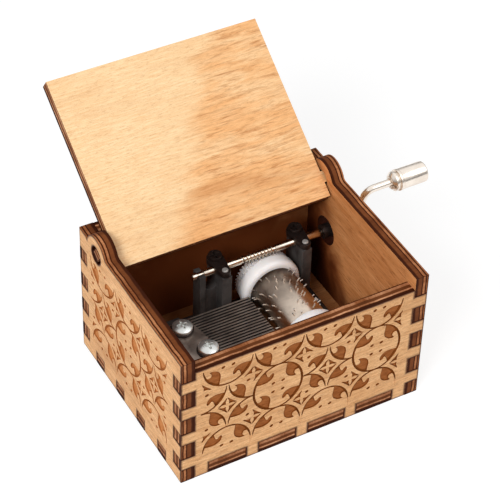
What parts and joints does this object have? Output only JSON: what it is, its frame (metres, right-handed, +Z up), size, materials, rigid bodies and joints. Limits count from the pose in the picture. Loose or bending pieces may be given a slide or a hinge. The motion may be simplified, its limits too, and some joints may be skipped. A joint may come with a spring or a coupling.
{
  "type": "hand-cranked cylinder music box",
  "caption": "Hand-cranked music box: an engraved plywood case with a hinged lid around a pinned-cylinder movement, turned by a bent wire crank with a spinning knob.",
  "frame": {"origin": "centre of the case's underside", "axes": "+X towards the crank, +Y towards the lid's hinge, +Z up"},
  "size_m": [0.0849, 0.0784, 0.0621],
  "materials": {
    "plywood": "laser-cut birch plywood, matt, edges burnt dark brown",
    "lid_plywood": "laser-cut birch plywood, matt, edges burnt dark brown",
    "zinc_casting": "dark grey die-cast zinc, satin",
    "black_steel": "blackened steel, satin",
    "comb_steel": "dark tempered spring steel, fine ground lines",
    "lead": "dull lead",
    "bright_steel": "bright zinc-plated steel",
    "nickel": "polished nickel plate",
    "white_plastic": "white acetal, satin",
    "crank_nickel": "nickel-plated, semi-bright",
    "screw_steel": "zinc-plated wood screw"
  },
  "bodies": {
    "box": {"front_panel": "plywood", "back_panel": "plywood", "left_panel": "plywood", "right_panel": "plywood", "bottom_panel": "plywood", "mounting_screws": "screw_steel", "bedplate": "zinc_casting", "bearing_cap_left": "black_steel", "bearing_cap_right": "black_steel", "cap_screws": "black_steel", "cap_dowels": "bright_steel", "comb": "comb_steel", "comb_weights": "lead", "comb_screws": "bright_steel", "comb_washers": "bright_steel"},
    "lid": {"lid": "lid_plywood"},
    "cylinder": {"cylinder_barrel": "nickel", "cylinder_pins": "nickel", "cylinder_arbor": "bright_steel", "worm_wheel": "white_plastic", "cylinder_end_cap": "white_plastic"},
    "crank": {"worm_shaft": "nickel", "crank_coupling": "black_steel", "crank_wire": "crank_nickel"},
    "knob": {"knob_hub": "crank_nickel", "knob_sleeve": "crank_nickel"}
  },
  "joints": [
    {"name": "lid_hinge", "type": "hinge", "parent": "box", "child": "lid", "pos_m": [0, 0.01675, 0.03625], "axis": [1, 0, 0], "range_deg": [0, 145]},
    {"name": "crank_turn", "type": "hinge", "parent": "box", "child": "crank", "pos_m": [0, 0.01355, 0.02193], "axis": [1, 0, 0], "continuous": true},
    {"name": "cylinder_turn", "type": "hinge", "parent": "box", "child": "cylinder", "pos_m": [0.01145, 0, 0.0135], "axis": [0, 1, 0], "continuous": true},
    {"name": "knob_spin", "type": "hinge", "parent": "crank", "child": "knob", "pos_m": [0.0433, 0.00923, 0.03483], "axis": [1, 0, 0], "continuous": true}
  ],
  "couplings": [
    {"joint": "cylinder_turn", "follows": "crank_turn", "ratio": -0.020833}
  ]
}
